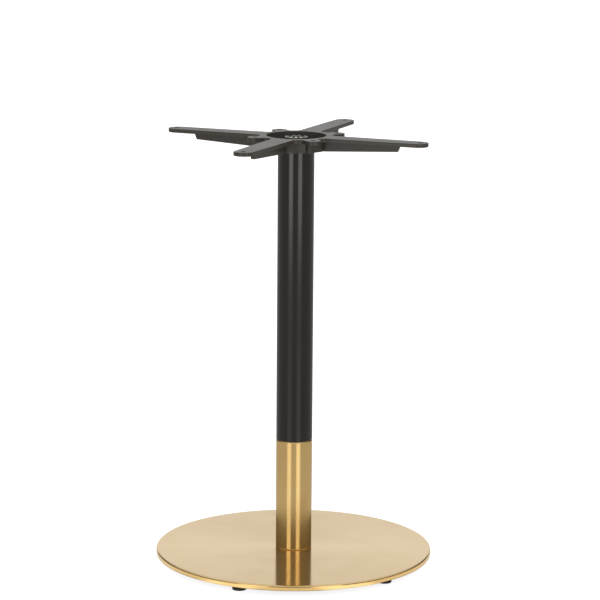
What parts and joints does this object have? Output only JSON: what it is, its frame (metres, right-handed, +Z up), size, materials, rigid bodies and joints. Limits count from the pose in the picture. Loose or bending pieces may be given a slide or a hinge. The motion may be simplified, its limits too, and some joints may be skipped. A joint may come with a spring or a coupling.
{
  "type": "dining table base",
  "caption": "Pedestal base for a dining table: a round brass-finish disc, a two-tone column, a black cast spider with screw holes for the top, and levelling feet.",
  "frame": {"origin": "on the floor, under the column's axis", "axes": "+Z up along the column; the spider's arms point along X and Y"},
  "size_m": [0.47, 0.47, 0.73],
  "materials": {
    "brass_finish": "brushed and lacquered",
    "black_powder_coat": "satin powder coat",
    "black_cast_metal": "satin black paint on a casting",
    "cast_iron_weight": "as cast, primed",
    "zinc_steel": "bright zinc plate",
    "black_nylon": "moulded"
  },
  "bodies": {
    "base": {"base_cover": "brass_finish", "base_weight": "cast_iron_weight", "column_locating_disc": "zinc_steel", "column_lower": "brass_finish", "column_upper": "black_powder_coat", "column_joint_sleeve": "zinc_steel", "tie_rod": "zinc_steel", "top_washer": "zinc_steel", "top_nut": "zinc_steel", "spider": "black_cast_metal"},
    "foot_1": {"foot_pad_1": "black_nylon", "foot_stud_1": "zinc_steel"},
    "foot_2": {"foot_pad_2": "black_nylon", "foot_stud_2": "zinc_steel"},
    "foot_3": {"foot_pad_3": "black_nylon", "foot_stud_3": "zinc_steel"},
    "foot_4": {"foot_pad_4": "black_nylon", "foot_stud_4": "zinc_steel"},
    "foot_5": {"foot_pad_5": "black_nylon", "foot_stud_5": "zinc_steel"}
  },
  "joints": [
    {"name": "foot_1_height", "type": "slide", "parent": "base", "child": "foot_1", "axis": [0, 0, -1], "range_m": [0, 0.005]},
    {"name": "foot_2_height", "type": "slide", "parent": "base", "child": "foot_2", "axis": [0, 0, -1], "range_m": [0, 0.005]},
    {"name": "foot_3_height", "type": "slide", "parent": "base", "child": "foot_3", "axis": [0, 0, -1], "range_m": [0, 0.005]},
    {"name": "foot_4_height", "type": "slide", "parent": "base", "child": "foot_4", "axis": [0, 0, -1], "range_m": [0, 0.005]},
    {"name": "foot_5_height", "type": "slide", "parent": "base", "child": "foot_5", "axis": [0, 0, -1], "range_m": [0, 0.005]}
  ]
}
